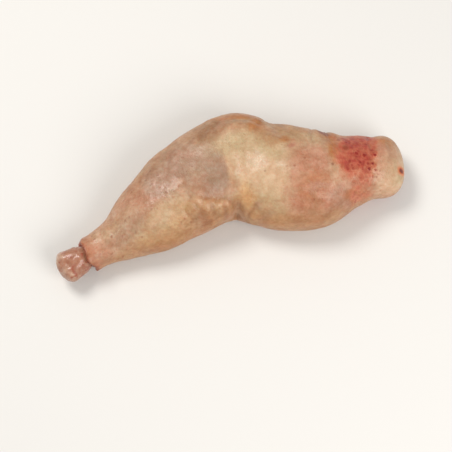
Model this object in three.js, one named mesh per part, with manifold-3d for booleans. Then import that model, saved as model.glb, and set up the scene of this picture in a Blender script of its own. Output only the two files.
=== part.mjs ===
// A raw chicken leg: thigh and drumstick in one piece, lying skin side up with the knee a little bent.
//
// Millimetres, +Z up. The origin is the middle of the leg's box, on the surface that it lies on.
// +X runs along the leg from the hock to the hip end, and +Y is the side of the kneecap.
//
// The flesh with its skin is one solid, lofted through oval sections along the leg. The bone of the
// drumstick shows where the leg was cut at the hock. It is a solid of its own, in a channel of the flesh.

import * as THREE from 'three';
import Module from 'manifold-3d';
import { mergeVertices } from 'three/addons/utils/BufferGeometryUtils.js';

// ---- Driving dimensions ----

// Places on the plan are measured from a point beside the knee. This is the middle of the leg's box, seen
// from there, and the finished leg is moved so that it becomes the origin.
const MIDDLE = { x: 0.5, y: 3.2 };

// Sections of the flesh. "along" is the distance from the hip end, measured down the leg, and x and y
// are the section's middle on the plan. "far" and "near" are its reach towards the kneecap's side and
// the hollow of the knee. "low" is under zero where the soft flesh would sink into the surface.
const SECTIONS = [
  { name: 'hip end', along: 0, x: 103.6, y: 19.6, far: 20, near: 16.5, top: 26, low: 6 },
  { name: 'hip', along: 17, x: 86.6, y: 19.6, far: 21.5, near: 16.5, top: 32, low: 0 },
  { name: 'upper thigh', along: 34, x: 69.6, y: 17.1, far: 23.5, near: 20.5, top: 36.5, low: -2.5 },
  { name: 'thigh', along: 51, x: 53.1, y: 14.2, far: 29, near: 29, top: 40, low: -3 },
  { name: 'full thigh', along: 68, x: 36.1, y: 13.8, far: 31.5, near: 31, top: 42, low: -3 },
  { name: 'above the knee', along: 86, x: 18.1, y: 16.4, far: 34, near: 30, top: 41, low: -2.5 },
  { name: 'knee', along: 103, x: 1.1, y: 17.6, far: 36.8, near: 28.5, top: 39, low: -2 },
  { name: 'below the knee', along: 119, x: -14.4, y: 12.8, far: 31.8, near: 26.5, top: 38.5, low: -2.5 },
  { name: 'calf', along: 138, x: -29.9, y: 2.8, far: 29, near: 25, top: 38, low: -2.5 },
  { name: 'lower calf', along: 160, x: -47.9, y: -9.8, far: 23.2, near: 21.6, top: 34.2, low: -2 },
  { name: 'shank', along: 181, x: -65.4, y: -21.1, far: 14.8, near: 14.2, top: 26.8, low: 0 },
  { name: 'ankle', along: 195, x: -77.3, y: -28.2, far: 10.8, near: 10.6, top: 22.8, low: 1.2 },
  { name: 'skin edge at hock', along: 204, x: -84.9, y: -32.9, far: 10.8, near: 10.8, top: 24, low: 2.2 },
];
const LENGTH = SECTIONS.at(-1).along;
const FULLNESS = { upper: 2.15, lower: 2.7 }; // exponents of the oval: 2 is an ellipse, more is squarer
const WIDEST_AT = 0.42; // where a section is widest, as a share of its height
const HIP_ROUNDING = { length: 16, fullness: 2.5 };
const HOCK = { radius: 10.8, lip: 1.4, recess: 3, uneven: 1.6, fade: 16 }; // a lip of skin round a dish
const CONTACT_SOFTNESS = 1.5; // height over which the flesh rounds into its flat contact with the surface
const LUMPS = { height: 0.35, length: 37 }; // gentle unevenness of the soft flesh

// Mounds on the upper side: middle on the plan, half lengths of the mound, its turn in degrees, its rise.
const MOUNDS = [
  { name: 'crown of the thigh', x: 48.1, y: 7.6, long: 26, wide: 14, turn: -6, rise: 2.2 },
  { name: 'kneecap', x: 4.1, y: 40.6, long: 16, wide: 7, turn: 8, rise: 2 },
  { name: 'calf muscle', x: -24.9, y: -0.4, long: 24, wide: 12, turn: 34, rise: 2.4 },
  { name: 'shin', x: -37.9, y: 16.6, long: 24, wide: 6, turn: 34, rise: 1.2 },
  { name: 'fat at the hip', x: 94.1, y: 17.6, long: 9, wide: 15, turn: 0, rise: 1.4 },
  { name: 'fat in the hollow of the knee', x: -5.9, y: -8.4, long: 11, wide: 6, turn: 20, rise: 2.4 },
];

// Folds of the skin on the upper side. "path" is the start, bend and end of a bent line on the plan, with
// its deep part at the start.
const FOLDS = [
  { name: 'hollow of the knee', path: [[4.1, -15.4], [3.6, -9.4], [8.1, -2.4]], width: 4, depth: 3.6 },
  { name: 'dip above the kneecap', path: [[24.1, 49.6], [26.1, 37.6], [42.1, 21.6]], width: 5, depth: 2 },
  { name: 'rim of the kneecap', path: [[16.1, 42.6], [2.1, 48.6], [-15.9, 35.6]], width: 3, depth: 1.3 },
  { name: 'loose thigh skin', path: [[54.1, 45.6], [55.1, 33.6], [64.1, 11.6]], width: 3.2, depth: 1.7 },
  { name: 'edge of the hip fat', path: [[84.1, 41.6], [89.1, 23.6], [84.1, 1.6]], width: 4, depth: 0.8 },
];
const FOLD_FADE = 0.3; // share of a fold after which it starts to run out

// The bare meat under the thigh, where the leg was cut from the back: an oval with an uneven edge. It lies
// a skin's thickness under that edge, sags back to the surface farther in, and climbs a little at the hip.
const BARE_MEAT = { x: 60, y: 12.6, long: 47, wide: 18, uneven: 0.08, skin: 1.6, edge: 3.5, sag: 9 };
const BARE_MEAT_CLIMB = 15;

// The drumstick's bone, along its own axis from the knee to the hock.
const BONE = { knee: [-9.9, 11.1, 18], tip: [-100.6, -42.6, 12], shaft: 4.2, flare: 8.6 };
const KNUCKLE = { radius: 10, length: 13, height: 0.85, groove: 2.4, grooveWidth: 3.4, flareLength: 12 };
const BONE_CLEARANCE = 0.3;

const FLESH_MESH = { around: 54, rows: 76, hipRows: 9, lipRows: 4 };
const BONE_MESH = { around: 20, rows: 24 };

// ---- Curves ----

/** The value of one field at a distance along the leg: a smooth cubic through the sections. */
function sectionValue(field, along) {
  const last = SECTIONS.length - 1;
  let i = 0;
  while (i < last - 1 && along > SECTIONS[i + 1].along) i += 1;
  const slope = (k) => {
    const before = SECTIONS[Math.max(k - 1, 0)];
    const after = SECTIONS[Math.min(k + 1, last)];
    return (after[field] - before[field]) / (after.along - before.along);
  };
  const [a, b] = [SECTIONS[i], SECTIONS[i + 1]];
  const span = b.along - a.along;
  const t = (along - a.along) / span;
  return (
    a[field] * (1 + 2 * t) * (1 - t) ** 2 +
    slope(i) * span * t * (1 - t) ** 2 +
    b[field] * t * t * (3 - 2 * t) +
    slope(i + 1) * span * t * t * (t - 1)
  );
}

function smoothStep(low, high, value) {
  const t = Math.min(Math.max((value - low) / (high - low), 0), 1);
  return t * t * (3 - 2 * t);
}

function signedPower(value, power) {
  return Math.sign(value) * Math.abs(value) ** power;
}

/** How far a rounded end has opened at a distance from its tip: 0 at the tip, 1 past the rounding. */
function rounding(distance, length, fullness) {
  const t = Math.min(distance / length, 1);
  return (1 - (1 - t) ** fullness) ** (1 / fullness);
}

/** The distance on the plan to the nearest point of a bent line, and that point's share of the line. */
function nearestOnLine(x, y, line, steps = 12) {
  const spot = new THREE.Vector2(x, y);
  let nearest = { distance: Infinity, share: 0 };
  for (let i = 0; i < steps; i += 1) {
    const start = line.getPoint(i / steps);
    const run = line.getPoint((i + 1) / steps).sub(start);
    const t = THREE.MathUtils.clamp(spot.clone().sub(start).dot(run) / run.lengthSq(), 0, 1);
    const distance = start.addScaledVector(run, t).distanceTo(spot);
    if (distance < nearest.distance) nearest = { distance, share: (i + t) / steps };
  }
  return nearest;
}

// ---- Relief of the flesh ----

/** A smooth mound with oval contours. */
function moundRise(x, y, mound) {
  const turn = THREE.MathUtils.degToRad(mound.turn);
  const dx = x - mound.x;
  const dy = y - mound.y;
  const u = (dx * Math.cos(turn) + dy * Math.sin(turn)) / mound.long;
  const v = (dy * Math.cos(turn) - dx * Math.sin(turn)) / mound.wide;
  return mound.rise * Math.exp(-(u * u + v * v));
}

const foldLines = FOLDS.map(({ path }) => {
  const points = path.map((point) => new THREE.Vector2(...point));
  return new THREE.QuadraticBezierCurve(...points);
});

/** A valley beside a bent line, deep at its start and running out at its end. */
function foldDepth(x, y, fold, line) {
  const { distance, share } = nearestOnLine(x, y, line);
  return fold.depth * (1 - smoothStep(FOLD_FADE, 1, share)) * Math.exp(-((distance / fold.width) ** 2));
}

function lumpRise(x, y) {
  const turn = (2 * Math.PI) / LUMPS.length;
  const broad = Math.sin(turn * x + 1.3) * Math.sin(0.9 * turn * y + 0.4);
  const fine = Math.sin(1.5 * turn * (x - 0.8 * y) + 2) * Math.sin(1.1 * turn * (y + 0.6 * x));
  return LUMPS.height * (broad + 0.7 * fine);
}

/** Distance inside the edge of the bare meat, on the plan; it is negative on the skin. */
function insideBareMeat(x, y) {
  const u = (x - BARE_MEAT.x) / BARE_MEAT.long;
  const v = (y - BARE_MEAT.y) / BARE_MEAT.wide;
  const bearing = Math.atan2(v, u);
  const wave = Math.sin(3 * bearing + 0.8) + 0.6 * Math.sin(7 * bearing + 2.1);
  return (1 + BARE_MEAT.uneven * wave - Math.hypot(u, v)) * BARE_MEAT.wide;
}

/** How deep the bare meat lies under the skin's edge. It sags back to the surface away from the edge. */
function bareMeatDepth(x, y) {
  const inside = insideBareMeat(x, y);
  return BARE_MEAT.skin * smoothStep(0, BARE_MEAT.edge, inside) * Math.exp(-((inside / BARE_MEAT.sag) ** 4));
}

/** Rounds what would reach below the surface into a flat contact with it. */
function settle(z) {
  if (z > CONTACT_SOFTNESS) return z;
  if (z < -CONTACT_SOFTNESS) return 0;
  return (z + CONTACT_SOFTNESS) ** 2 / (4 * CONTACT_SOFTNESS);
}

// ---- Solids ----

/** A closed geometry from rings of points, with one point closing each end. */
function closedLoft(rings, start, end) {
  const around = rings[0].length;
  const points = [start, ...rings.flat(), end];
  const at = (row, i) => 1 + row * around + (i % around);
  const faces = [];
  for (let i = 0; i < around; i += 1) {
    faces.push(0, at(0, i), at(0, i + 1));
    for (let row = 0; row + 1 < rings.length; row += 1) {
      faces.push(at(row, i), at(row + 1, i), at(row + 1, i + 1));
      faces.push(at(row, i), at(row + 1, i + 1), at(row, i + 1));
    }
    faces.push(points.length - 1, at(rings.length - 1, i + 1), at(rings.length - 1, i));
  }
  const geometry = new THREE.BufferGeometry().setFromPoints(points);
  geometry.setIndex(faces);
  return geometry;
}

/**
 * A point of the flesh's surface. A bearing of 0 faces the kneecap's side and a quarter turn faces up.
 * "open" is the size of the section there, as a share of its full size. Towards the hock the section
 * waves to and fro along the leg, for an uneven edge of the skin, and lies still in the dish behind it.
 */
function fleshPoint(distance, bearing, open) {
  const wave = HOCK.uneven * (Math.sin(2 * bearing + 0.6) + 0.4 * Math.sin(5 * bearing)) * open ** 2;
  const along = distance - wave * smoothStep(LENGTH - HOCK.fade, LENGTH, distance);
  const [before, after] = [Math.max(Math.min(along, LENGTH) - 1, 0), Math.min(along + 1, LENGTH)];
  const heading = new THREE.Vector2(
    sectionValue('x', after) - sectionValue('x', before),
    sectionValue('y', after) - sectionValue('y', before),
  ).normalize();
  const [across, up] = [Math.cos(bearing), Math.sin(bearing)];
  const power = 2 / (up > 0 ? FULLNESS.upper : FULLNESS.lower);
  const low = sectionValue('low', along);
  const top = sectionValue('top', along);
  const middle = low + WIDEST_AT * (top - low);
  const out = open * sectionValue(across > 0 ? 'far' : 'near', along) * signedPower(across, power);
  const rise = open * (up > 0 ? top - middle : middle - low) * signedPower(up, power);
  const away = new THREE.Vector3(out * heading.y, -out * heading.x, rise); // from the section's middle
  const outward = away.clone().normalize();
  const centre = new THREE.Vector3(sectionValue('x', along), sectionValue('y', along), middle);
  const point = centre.add(away);

  let relief = lumpRise(point.x, point.y);
  for (const mound of MOUNDS) relief += moundRise(point.x, point.y, mound);
  FOLDS.forEach((fold, i) => {
    relief -= foldDepth(point.x, point.y, fold, foldLines[i]);
  });
  point.addScaledVector(outward, relief * smoothStep(-0.45, 0.15, outward.z) * open);
  point.z = settle(point.z);
  const underneath = 1 - smoothStep(-0.45, 0, outward.z);
  const lowEnough = 1 - smoothStep(BARE_MEAT_CLIMB / 2, BARE_MEAT_CLIMB, point.z);
  return point.addScaledVector(outward, -underneath * lowEnough * bareMeatDepth(point.x, point.y));
}

/** The flesh with its skin, before the bone's channel is cut. */
function fleshGeometry() {
  const { around, rows, hipRows, lipRows } = FLESH_MESH;
  const bearings = Array.from({ length: around }, (_, i) => (2 * Math.PI * i) / around);
  const rings = [];
  const addRing = (along, open) => rings.push(bearings.map((bearing) => fleshPoint(along, bearing, open)));
  for (let i = 1; i < hipRows; i += 1) {
    const along = HIP_ROUNDING.length * (1 - Math.cos((Math.PI / 2) * (i / hipRows)));
    addRing(along, rounding(along, HIP_ROUNDING.length, HIP_ROUNDING.fullness));
  }
  const straight = LENGTH - HIP_ROUNDING.length - HOCK.lip;
  for (let i = 0; i <= rows; i += 1) addRing(HIP_ROUNDING.length + (straight * i) / rows, 1);
  for (let i = 1; i <= lipRows; i += 1) {
    const turn = (Math.PI * i) / lipRows;
    addRing(LENGTH - HOCK.lip * (1 - Math.sin(turn)), 1 - (HOCK.lip * (1 - Math.cos(turn))) / HOCK.radius);
  }
  const dish = 1 - (2.2 * HOCK.lip) / HOCK.radius;
  addRing(LENGTH - HOCK.recess, dish);
  addRing(LENGTH - HOCK.recess, dish / 2);
  return closedLoft(rings, fleshPoint(0, 0, 0), fleshPoint(LENGTH - HOCK.recess, 0, 0));
}

/**
 * The drumstick's bone, grown by a clearance. In its own frame it runs along +X from the knee to the
 * hock, where its shaft flares into the two rounds of the knuckle, side by side along Y.
 */
function boneGeometry(grow = 0) {
  const { around, rows } = BONE_MESH;
  const length = new THREE.Vector3(...BONE.knee).distanceTo(new THREE.Vector3(...BONE.tip));
  const rings = [];
  for (let row = 1; row < rows; row += 1) {
    const along = (length * (1 - Math.cos((Math.PI * row) / rows))) / 2;
    const toTip = length - along;
    const flare = smoothStep(KNUCKLE.length + KNUCKLE.flareLength, KNUCKLE.length, toTip);
    const bulge = smoothStep(KNUCKLE.length, 0.4 * KNUCKLE.length, toTip);
    const reach = BONE.shaft + (BONE.flare - BONE.shaft) * flare + (KNUCKLE.radius - BONE.flare) * bulge;
    const open = rounding(toTip, KNUCKLE.length / 2, 2) * rounding(along, 2 * BONE.shaft, 2);
    const ring = [];
    for (let i = 0; i < around; i += 1) {
      const bearing = (2 * Math.PI * i) / around;
      const out = reach * open * Math.cos(bearing);
      const groove = KNUCKLE.groove * bulge * Math.exp(-((out / KNUCKLE.grooveWidth) ** 2));
      const height = reach * (1 - (1 - KNUCKLE.height) * bulge) - groove;
      ring.push(
        new THREE.Vector3(along, -out - grow * Math.cos(bearing), (height * open + grow) * Math.sin(bearing)),
      );
    }
    rings.push(ring);
  }
  return closedLoft(rings, new THREE.Vector3(-grow, 0, 0), new THREE.Vector3(length + grow, 0, 0));
}

// ---- Cutting the channel ----

const wasm = await Module();
wasm.setup();

function toSolid(geometry) {
  const merged = mergeVertices(geometry, 1e-4);
  return new wasm.Manifold(
    new wasm.Mesh({
      numProp: 3,
      vertProperties: merged.getAttribute('position').array,
      triVerts: new Uint32Array(merged.getIndex().array),
    }),
  );
}

function toGeometry(solid) {
  const { vertProperties, triVerts } = solid.getMesh();
  const geometry = new THREE.BufferGeometry();
  geometry.setAttribute('position', new THREE.BufferAttribute(vertProperties, 3));
  geometry.setIndex(new THREE.BufferAttribute(triVerts, 1));
  return geometry;
}

// ---- The leg ----

function named(name, geometry, material) {
  geometry.computeVertexNormals();
  const mesh = new THREE.Mesh(geometry, material);
  mesh.name = name;
  return mesh;
}

const skin = new THREE.MeshStandardMaterial({ color: 0xd3ae8c, roughness: 0.45, metalness: 0 });
const cartilage = new THREE.MeshStandardMaterial({ color: 0xddc3b4, roughness: 0.35, metalness: 0 });

const knee = new THREE.Vector3(...BONE.knee);
const boneRun = new THREE.Vector3(...BONE.tip).sub(knee);
const bone = named('drumstick_bone', boneGeometry(), cartilage);
bone.position.copy(knee);
bone.rotation.set(0, -Math.asin(boneRun.z / boneRun.length()), Math.atan2(boneRun.y, boneRun.x), 'ZYX');
bone.updateMatrix();

const channel = boneGeometry(BONE_CLEARANCE).applyMatrix4(bone.matrix);
const flesh = named('leg_flesh', toGeometry(toSolid(fleshGeometry()).subtract(toSolid(channel))), skin);

const leg = new THREE.Group();
leg.add(flesh, bone);
leg.position.set(-MIDDLE.x, -MIDDLE.y, 0);

export default leg;
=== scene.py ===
import itertools
import math

import bpy
import numpy as np
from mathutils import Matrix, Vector


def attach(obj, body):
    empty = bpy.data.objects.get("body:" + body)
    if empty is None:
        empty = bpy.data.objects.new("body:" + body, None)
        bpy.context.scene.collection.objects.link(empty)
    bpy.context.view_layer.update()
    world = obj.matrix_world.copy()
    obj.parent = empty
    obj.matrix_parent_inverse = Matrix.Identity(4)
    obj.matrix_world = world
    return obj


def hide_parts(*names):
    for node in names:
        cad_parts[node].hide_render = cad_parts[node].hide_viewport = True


# A raw chicken leg, lying skin side up. Shapes are worked out in millimetres and become metres when a mesh
# is made. "along" is the distance from the hip end down the leg. A bearing of 0 faces the kneecap's side,
# and a quarter turn faces up. "Plan" means seen from straight above. An oval is given as plan x and y, half
# length and half width, turn in degrees, and rise or strength. A fold is given as the start, bend and end of
# a line on the plan, width and depth, and it is deepest at the start.

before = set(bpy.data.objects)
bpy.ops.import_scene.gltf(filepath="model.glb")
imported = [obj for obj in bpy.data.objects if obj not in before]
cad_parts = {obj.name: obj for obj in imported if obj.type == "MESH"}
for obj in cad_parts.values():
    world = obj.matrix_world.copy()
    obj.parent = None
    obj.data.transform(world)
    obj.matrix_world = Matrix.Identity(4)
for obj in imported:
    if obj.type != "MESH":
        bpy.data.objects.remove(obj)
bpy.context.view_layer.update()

MM = 0.001

# ---- Form of the leg, as its solids have it ----

# Places on the plan are measured from a point beside the knee. This is the middle of the leg's box, seen
# from there, and it becomes the origin.
MIDDLE = np.array((0.5, 3.2, 0))

# Sections of the flesh: along, the middle's x and y, reach to the far and near side, top and low.
STATIONS = np.array([
    (0, 103.6, 19.6, 20, 16.5, 26, 6),  # hip end
    (17, 86.6, 19.6, 21.5, 16.5, 32, 0),  # hip
    (34, 69.6, 17.1, 23.5, 20.5, 36.5, -2.5),  # upper thigh
    (51, 53.1, 14.2, 29, 29, 40, -3),  # thigh
    (68, 36.1, 13.8, 31.5, 31, 42, -3),  # full thigh
    (86, 18.1, 16.4, 34, 30, 41, -2.5),  # above the knee
    (103, 1.1, 17.6, 36.8, 28.5, 39, -2),  # knee
    (119, -14.4, 12.8, 31.8, 26.5, 38.5, -2.5),  # below the knee
    (138, -29.9, 2.8, 29, 25, 38, -2.5),  # calf
    (160, -47.9, -9.8, 23.2, 21.6, 34.2, -2),  # lower calf
    (181, -65.4, -21.1, 14.8, 14.2, 26.8, 0),  # shank
    (195, -77.3, -28.2, 10.8, 10.6, 22.8, 1.2),  # ankle
    (204, -84.9, -32.9, 10.8, 10.8, 24, 2.2),  # skin edge at the hock
])
ALONG, PLAN_X, PLAN_Y, FAR, NEAR, TOP, LOW = range(7)
LENGTH = STATIONS[-1, ALONG]
FULLNESS = {"upper": 2.15, "lower": 2.7}  # exponents of the oval sections
WIDEST_AT = 0.42  # share of a section's height at which it is widest
HIP_ROUNDING = {"length": 16, "fullness": 2.5}
CIRCLE = 2  # fullness of a rounding that is a quarter of a circle
HOCK = {"radius": 10.8, "lip": 1.4, "recess": 3, "dish": 2.2, "uneven": 1.6, "fade": 16}
CONTACT_SOFTNESS = 1.5
LUMPS = {"height": 0.35, "length": 37}

# What a surface carries depends on the upward share of its direction: where each effect begins and is full.
FACING = {
    "lifted": (-0.45, 0.15),  # mounds and folds
    "side": (-0.45, 0),  # no bare meat
    "upper": (-0.1, 0.4),  # lobes, wrinkles and zones of colour
    "top": (0.1, 0.4),  # dark dots
    "pores": (-0.75, 0.1),
    "turned_down": (0.85, 0.25),  # painted shade at the rim, brown
    "rim_end": (-0.7, 0.0),  # its lower end
}

# Mounds, as ovals.
MOUNDS = [
    (48.1, 7.6, 26, 14, -6, 2.2),  # crown of the thigh
    (4.1, 40.6, 16, 7, 8, 2),  # kneecap
    (-24.9, -0.4, 24, 12, 34, 2.4),  # calf muscle
    (-37.9, 16.6, 24, 6, 34, 1.2),  # shin
    (94.1, 17.6, 9, 15, 0, 1.4),  # fat at the hip
    (-5.9, -8.4, 11, 6, 20, 2.4),  # fat in the hollow of the knee
]

FOLDS = [
    ((4.1, -15.4), (3.6, -9.4), (8.1, -2.4), 4, 3.6),  # hollow of the knee
    ((24.1, 49.6), (26.1, 37.6), (42.1, 21.6), 5, 2),  # dip above the kneecap
    ((16.1, 42.6), (2.1, 48.6), (-15.9, 35.6), 3, 1.3),  # rim of the kneecap
    ((54.1, 45.6), (55.1, 33.6), (64.1, 11.6), 3.2, 1.7),  # loose skin on the thigh
    ((84.1, 41.6), (89.1, 23.6), (84.1, 1.6), 4, 0.8),  # edge of the hip fat
]
FOLD_FADE = 0.3  # share of a fold's length after which it runs out

# Underneath, an oval of meat is bare, up to a height on the sides.
BARE_MEAT = {
    "x": 60, "y": 12.6, "long": 47, "wide": 18, "uneven": 0.08,
    "skin": 1.6, "edge": 3.5, "sag": 9, "climb": 15,
}

BONE = {"knee": (-9.9, 11.1, 18), "tip": (-100.6, -42.6, 12), "shaft": 4.2, "flare": 8.6}
KNUCKLE = {
    "radius": 10, "length": 13, "full_at": 0.4, "height": 0.85,
    "groove": 2.4, "groove_width": 3.4, "flare_length": 12,
}

# ---- Fineness of the meshes ----

FLESH_ROWS = {"hip": 24, "straight": 384, "lip": 8, "dish": 8}
FLESH_AROUND = 226
TOP_BIAS = 0.34  # how much closer the points lie on the upper side than below
LINE_STEPS = 12  # straight steps of a bent line
BONE_GRID = {"rows": 130, "around": 104, "crowding": 2.2}

# ---- Finer relief, which the solids leave out ----

# Relief is lost towards the surface that the leg lies on, and at the hock's lip of skin.
FREE_RELIEF = {"contact": (0.2, 3.5), "hock": (LENGTH + 1, LENGTH - 2)}

# Fine wrinkles, as folds.
WRINKLES = [
    ((-8, -15), (-14, -6), (-15, 6), 1.5, 0.5),
    ((-1, -16), (-6, -7), (-3, 5), 1.4, 0.55),
    ((8, -14), (13, -7), (24, -3), 1.5, 0.6),
    ((12, -16), (22, -12), (36, -13), 1.3, 0.45),
    ((-15, -13), (-24, -8), (-27, 1), 1.4, 0.4),
    ((19, 46), (14, 39), (9, 28), 1.5, 0.4),
    ((12, 48), (7, 43), (0, 30), 1.3, 0.3),
    ((-7, 45), (-12, 37), (-11, 26), 1.5, 0.45),
    ((-14, 38), (-19, 31), (-19, 21), 1.5, 0.4),
    ((30, 45), (33, 36), (45, 27), 1.6, 0.5),
    ((48, 42), (46, 34), (48, 22), 1.5, 0.5),
    ((59, 38), (63, 28), (68, 17), 1.4, 0.4),
    ((81, 37), (84, 24), (80, 9), 1.3, 0.4),
    ((93, 34), (96, 22), (92, 6), 1.6, 0.45),
    ((55, -13), (62, -6), (75, -3), 1.4, 0.45),
    ((-34, 24), (-38, 14), (-36, 2), 1.6, 0.4),
    ((-52, 10), (-55, 0), (-51, -12), 1.5, 0.4),
    ((-70, -10), (-71, -20), (-67, -30), 1.4, 0.4),
]

# Lobes of fat in the hollow of the knee. They lie together in one oval and run softly into each other, and
# the creases between them carry painted shade, brown.
LOBES = [
    (-20.5, -9.5, 6.5, 4.6, 32, 1.0),
    (-12.0, -10.0, 6.4, 5.4, 15, 1.4),
    (-3.6, -9.0, 5.6, 4.6, -10, 1.3),
    (-6.4, -15.4, 6.0, 3.4, 8, 1.2),
    (3.6, -13.4, 5.0, 4.2, 20, 1.2),
    (9.4, -7.6, 4.6, 4.6, 35, 1.1),
    (13.6, -13.4, 5.2, 4.0, 5, 1.0),
]
LOBE_OVAL = (-3, -11.5, 22, 8, 2, 1.0)
LOBE_FULLNESS = 0.85
LOBE_BLEND = 3  # higher keeps the lobes more apart
LOBE_CREASE = {"softness": 0.35, "rise": (0.9, 0.1)}  # a crease lies where the lobes rise least

# The loose skin lies over the fold on the thigh like a shingle: how much higher, the share of the fold after
# which it runs out, and how far it reaches back and to the front.
SHINGLE = {"fold": 3, "rise": 0.8, "fade": 0.5, "back": 10, "front": 0.9}

# A pucker of skin at the start of that fold.
PUCKER = (58, 40.5, 5, 6, -10, 2.2)

# Soft lumps of the flesh under the skin, and of the gristle on the torn joint: size, height.
SOFT_LUMPS = ((14, 0.55), (6.5, 0.26), (2.8, 0.1))
KNUCKLE_LUMPS = ((7, 0.45), (3.2, 0.3), (1.4, 0.12))

# Feather pores stand in rows along the leg, every other row shifted by half a gap. They drift in slow waves,
# stray one by one, come and go in clumps, and fade towards the leg's ends and on the lobes of fat.
PORES = {"gap": 3.6, "row_gap": 4.5, "stray": 0.85, "drift": 1.6, "drift_length": 61}
PORE_CLUMPS = {"size": 9, "range": (-0.7, 0.4)}
PORE_FADES = {"hip": (5, 20), "hock": (LENGTH, LENGTH - 8), "lobe": (0.1, 0.8)}
PORE_BUMP = {"radius": 1.2, "rise": 0.4, "sunk": 0.3, "faintest": 0.2, "boldness": 0.9}

# How strongly the pores stand out.
PORE_PATCHES = [
    (76, 18, 14, 24, 0, 1.0),
    (55, 6, 26, 24, 0, 0.5),
    (32, 28, 26, 18, 0, 0.3),
    (-22, 12, 20, 24, 30, 0.4),
    (-48, -10, 34, 26, 34, 0.6),
    (-76, -32, 20, 16, 36, 0.45),
]
PORE_REST = 0.3  # strength everywhere else
PORE_SOFTNESS = 0.5

# ---- Colour zones of the skin ----

ZONES = {
    # The patch at (8, -10), in the fold in the hollow of the knee, is orange fat painted brighter against the
    # fold's shade: partly painted light.
    "fat": [
        (12, 25, 25, 12, -6, 1.0), (30, 31, 12, 7, -12, 0.7), (31, 17, 9, 5, -10, 0.7),
        (47, 29, 16, 11, -6, 0.6), (97, 16, 10, 19, 0, 1.0), (18, 6, 23, 13, -12, 0.9),
        (22, -10, 12, 6, 0, 0.6), (8, -10, 5, 8, 10, 0.8), (-42, -18, 20, 8, 36, 0.6),
        (-62, -16, 16, 5, 36, 0.5), (-50, 6, 14, 5, 36, 0.35),
    ],
    # Pale fat, and painted light: the patches at the hip end's lower side (92, 5) and in the fold in the
    # hollow of the knee (8, -9) are lighter to stand in for light where the form is in shade.
    "cream": [
        (92, 5, 9, 11, 0, 1.0), (31, 26, 6, 5, -10, 0.4), (100, 22, 5, 8, 0, 0.4),
        (8, -9, 4, 9, 14, 0.9), (18, 8, 19, 9, -12, 0.65), (-38, -14, 8, 4, 36, 0.3),
    ],
    "tan": [
        (10, 45, 28, 8, 0, 0.6), (-20, 34, 16, 9, 32, 0.5), (40, 38, 22, 8, -8, 0.3),
        (-50, 12, 22, 7, 36, 0.5), (-30, 28, 16, 7, 34, 0.4), (26, 33, 9, 6, -4, 0.8),
    ],
    # The patch at (9, -6), in the fold in the hollow of the knee, is orange fat painted brighter against the
    # fold's shade: partly painted light.
    "gold": [
        (-4, -11, 21, 7.5, 2, 0.6), (9, -6, 6, 9, 10, 0.7), (30, -17, 24, 4, 3, 0.5),
        (-34, -22, 16, 5, 36, 0.4), (4, 49, 22, 4, 0, 0.6), (93, 33, 8, 4, -15, 0.35),
        (-60, -36, 18, 4, 36, 0.4),
    ],
    "flush": [
        (45, 15, 12, 12, 0, 0.75), (46, -1, 11, 9, 0, 1.0), (58, 20, 8, 12, -60, 0.45),
        (63, -5, 14, 7, 0, 0.6), (75.5, -3, 8, 3.6, 6, 1.0), (48, -10, 12, 6, 0, 0.9),
        (4, -11, 6, 5, 0, 0.4), (-52, -2, 18, 10, 36, 0.5), (-80, -36, 12, 10, 36, 0.5),
        (35.5, 26, 1.8, 1.4, 30, 1.0), (94, 27, 9, 6, 0, 0.3), (76, 5, 7, 8, 0, 0.7),
        (86, 31, 6, 5, 0, 0.6), (90, 24, 8, 10, 0, 0.5), (86, 16, 7, 10, 0, 0.35),
    ],
    "mauve": [
        (-19, 22, 12, 7, 25, 0.3), (-38, 8, 14, 12, 36, 0.45), (-60, -22, 14, 6, 36, 0.35),
        (68, -3, 10, 6, 0, 0.3),
    ],
    "thin": [(-27, 20, 13, 9, 32, 0.7), (-44, 4, 10, 6, 36, 0.3)],
    "lean": [(-5, 9, 10, 11, 0, 0.95), (-17, 6, 13, 9, 20, 0.6)],
    "brown": [
        (-14, 38, 9, 8, 30, 0.85), (-5, 46, 14, 6, 18, 0.5), (47, -2, 9, 7, 0, 0.3),
        (83, 3, 3.4, 9, 0, 0.2), (-44, 18, 16, 5, 36, 0.3), (-10, -13, 14, 6, 4, 0.4),
        (50, -15, 18, 4, 4, 0.3),
    ],
    # Partly painted shade: the line in the crease at the near edge of the knee (-5, -18), the shadow line
    # beside the loose skin's fold (60, 25) and the darker band along the kneecap's rim (3, 48) stand in for
    # shade; the other patches are stains.
    "stain": [
        (-5, -18, 12, 2.4, 6, 0.7), (3, 48, 21, 2.2, 2, 0.8), (31, 31, 2.6, 2.2, -6, 0.9),
        (15.5, 42.5, 5, 6, 0, 1.0), (60, 25, 3.6, 9, 8, 1.0), (55.5, 37.5, 7, 4.5, -30, 1.0),
        (54.5, 38.6, 4, 2.6, -30, 1.0), (48, 1, 10, 7, 0, 0.45), (88, 35, 14, 3, -6, 0.8),
        (44, 38, 3, 2, 0, 0.4), (75, -1, 8, 3.4, 8, 0.95), (46, -6, 8, 5, 0, 0.2),
    ],
    "bruise": [
        (73, 26, 8, 9, 0, 0.7), (79, 23, 9, 12, 0, 0.85), (75, 18, 8, 6, 0, 0.45),
        (80, 34, 14, 4, -3, 0.75), (77, 8, 10, 8, 0, 0.25), (66, 31, 6, 5, -10, 0.2),
        (67, 19, 6, 9, 0, 0.75), (75, -2, 7, 3.4, 8, 0.35),
    ],
}
ZONE_SOFTNESS = {"usual": 0.6, "fat": 0.5, "mauve": 0.5, "thin": 0.5, "cream": 0.7, "bruise": 0.8}
ZONE_RAGGED = ((10, 0.24), (4, 0.22), (1.8, 0.12))  # waves in the zones' edges: size, share of a patch
BRUISE_END = {"x": 87.5, "softness": 5, "ragged": 4}  # it ends at the edge of the hip's fat

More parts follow.
